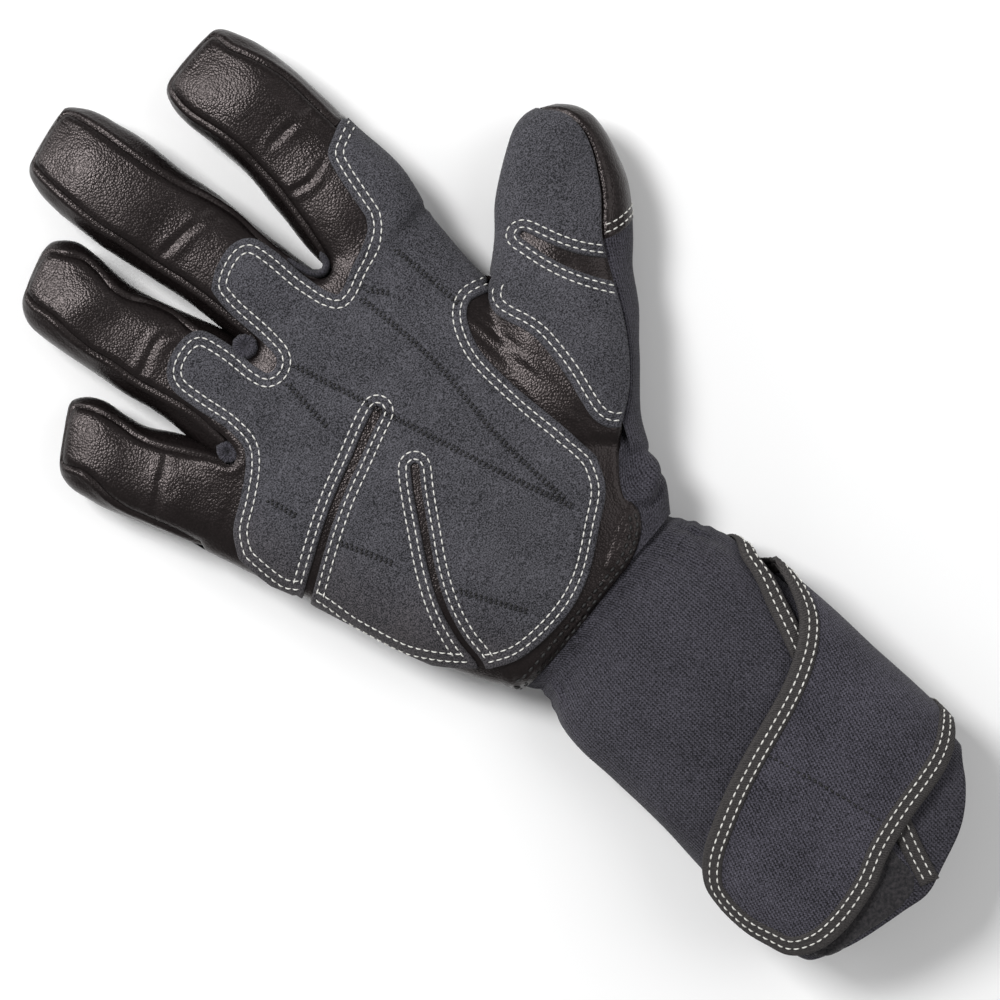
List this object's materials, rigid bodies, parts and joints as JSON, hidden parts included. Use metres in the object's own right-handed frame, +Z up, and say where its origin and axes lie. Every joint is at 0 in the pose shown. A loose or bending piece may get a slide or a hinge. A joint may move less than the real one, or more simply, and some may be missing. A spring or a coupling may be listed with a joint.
{
  "type": "tactical gauntlet glove",
  "caption": "Right-hand work glove with leather fingers, stitched suede palm, knitted gauntlet and a wrap-round wrist strap, lying palm up.",
  "frame": {"origin": "middle of the glove's outline on the surface that its back lies on", "axes": "+Z up out of the palm, +Y from the cuff to the fingertips, +X towards the thumb"},
  "size_m": [0.1803, 0.3365, 0.0442],
  "materials": {
    "leather": "dark brown-black pebbled goatskin, soft sheen",
    "suede": "dark slate-grey suede, short nap, matt",
    "knit": "charcoal-navy fine rib knit, matt",
    "binding": "dark brown-grey folded tape, matt",
    "loop": "black looped pile, matt",
    "thread": "off-white waxed thread",
    "dark_thread": "black thread"
  },
  "bodies": {
    "root": {"palm_panel": "leather", "index_sides": "leather", "middle_sides": "leather", "ring_sides": "leather", "little_sides": "leather", "back_panel": "knit", "thumb_front": "leather", "thumb_back": "knit", "thumb_tip_cap": "leather", "web_index_middle": "knit", "web_middle_ring": "knit", "web_ring_little": "knit", "palm_patch": "suede", "thumb_patch": "suede", "palm_hem": "leather", "gauntlet": "knit", "wrap_binding": "binding", "loop_panel": "loop", "wrist_strap": "knit", "strap_binding": "binding"}
  },
  "joints": []
}
